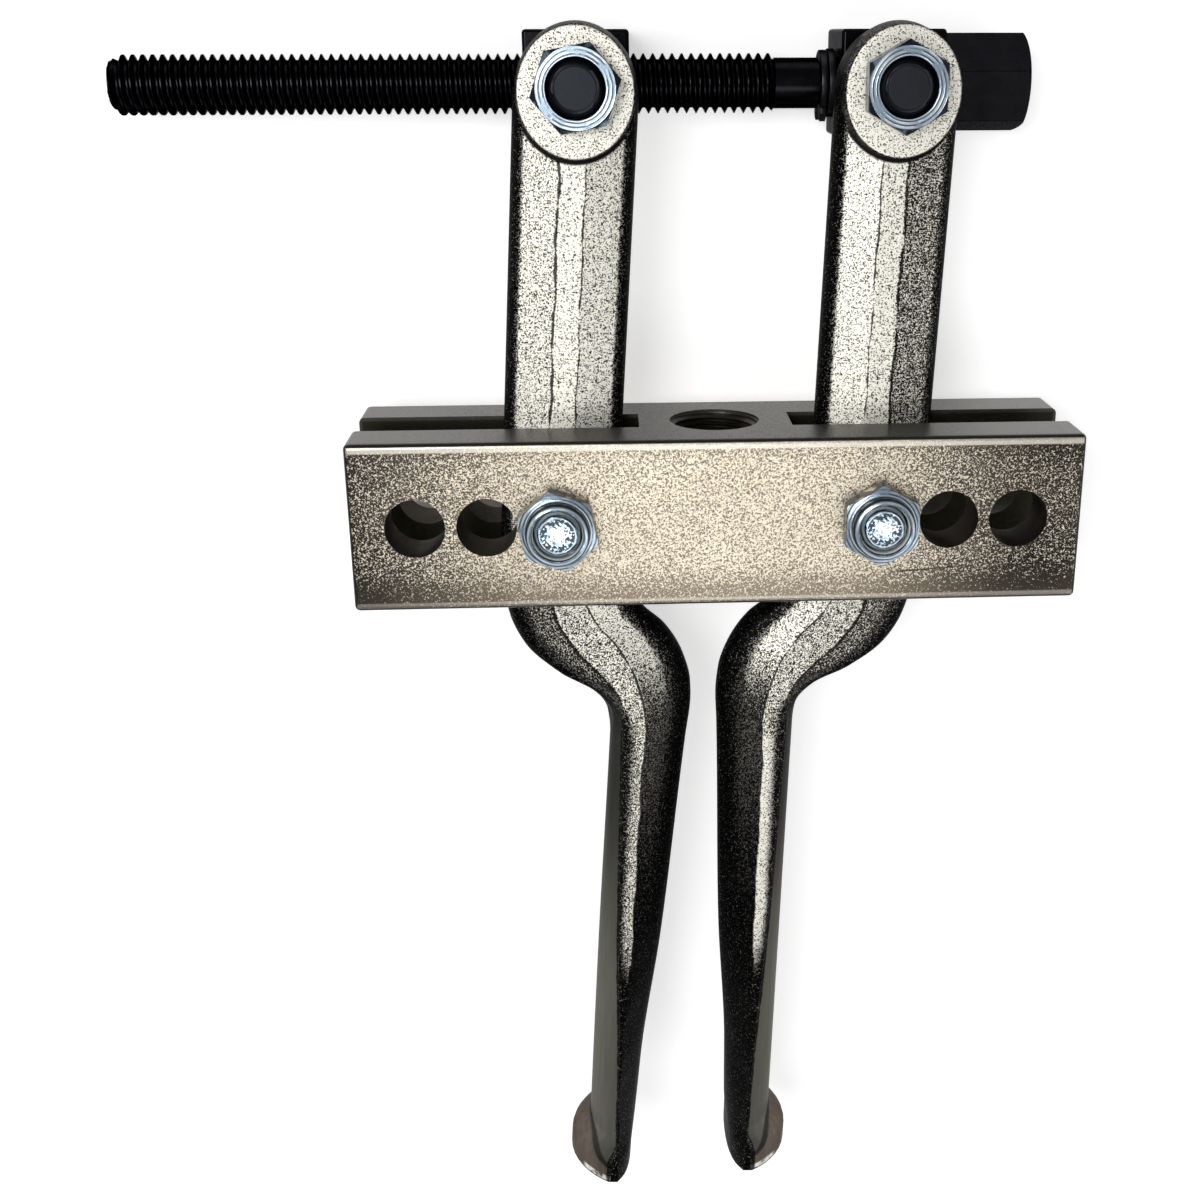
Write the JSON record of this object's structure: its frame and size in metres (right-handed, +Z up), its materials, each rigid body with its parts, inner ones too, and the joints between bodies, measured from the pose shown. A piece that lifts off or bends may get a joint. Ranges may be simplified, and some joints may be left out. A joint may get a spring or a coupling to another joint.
{
  "type": "internal puller attachment",
  "caption": "Internal puller attachment: forged lever arms with outward claws pivot in a slotted crossbar; a hex-headed spindle through swivel blocks draws their tops together.",
  "frame": {"origin": "Middle of the part's box, on the plane it lies on: the flat backs of the two swivel blocks.", "axes": "+X along the crossbar towards the spindle's hexagon, +Y from the claws up to the spindle, +Z up, towards the jam nuts."},
  "size_m": [0.2094, 0.2808, 0.0575],
  "materials": {
    "satin_nickel": "satin nickel plate over fine blasted grain",
    "forged_steel": "shot-blasted drop forging, nickel plated, darker sides",
    "black_oxide": "oiled black oxide on machined steel",
    "zinc": "blue zinc plate on turned fasteners",
    "spring_steel": "blackened spring steel",
    "nylon": "natural nylon"
  },
  "bodies": {
    "crossbar": {"crossbar": "satin_nickel", "pivot_bolt_left": "zinc", "pivot_bolt_right": "zinc", "pivot_nut_left": "zinc", "pivot_nut_right": "zinc", "nut_insert_left": "nylon", "nut_insert_right": "nylon"},
    "arm_left": {"arm_left": "forged_steel"},
    "arm_right": {"arm_right": "forged_steel"},
    "block_left": {"swivel_block_left": "black_oxide", "jam_nut_left": "zinc"},
    "block_right": {"swivel_block_right": "black_oxide", "jam_nut_right": "zinc"},
    "spindle": {"spindle": "black_oxide", "retaining_ring": "spring_steel", "thrust_washer": "spring_steel"}
  },
  "joints": [
    {"name": "arm_left_swing", "type": "hinge", "parent": "crossbar", "child": "arm_left", "pos_m": [-0.01035, 0.03708, 0.0313], "axis": [0, 0, 1], "range_deg": [-8.5, 1.5]},
    {"name": "arm_right_swing", "type": "hinge", "parent": "crossbar", "child": "arm_right", "pos_m": [0.05981, 0.03708, 0.0313], "axis": [0, 0, 1], "range_deg": [-1.5, 8.5]},
    {"name": "block_left_swivel", "type": "hinge", "parent": "arm_left", "child": "block_left", "pos_m": [-0.00436, 0.12718, 0.0313], "axis": [0, 0, 1], "range_deg": [-1.9, 10.3]},
    {"name": "block_right_swivel", "type": "hinge", "parent": "arm_right", "child": "block_right", "pos_m": [0.06328, 0.12732, 0.0313], "axis": [0, 0, 1], "range_deg": [-6.9, 1.3]},
    {"name": "spindle_spin", "type": "hinge", "parent": "block_right", "child": "spindle", "pos_m": [0.06328, 0.12732, 0.01135], "axis": [1, 0.002, 0], "continuous": true}
  ],
  "couplings": [
    {"joint": "arm_right_swing", "follows": "arm_left_swing", "ratio": -1},
    {"joint": "block_left_swivel", "follows": "arm_left_swing", "ratio": -1.2},
    {"joint": "block_right_swivel", "follows": "arm_left_swing", "ratio": 0.8}
  ]
}
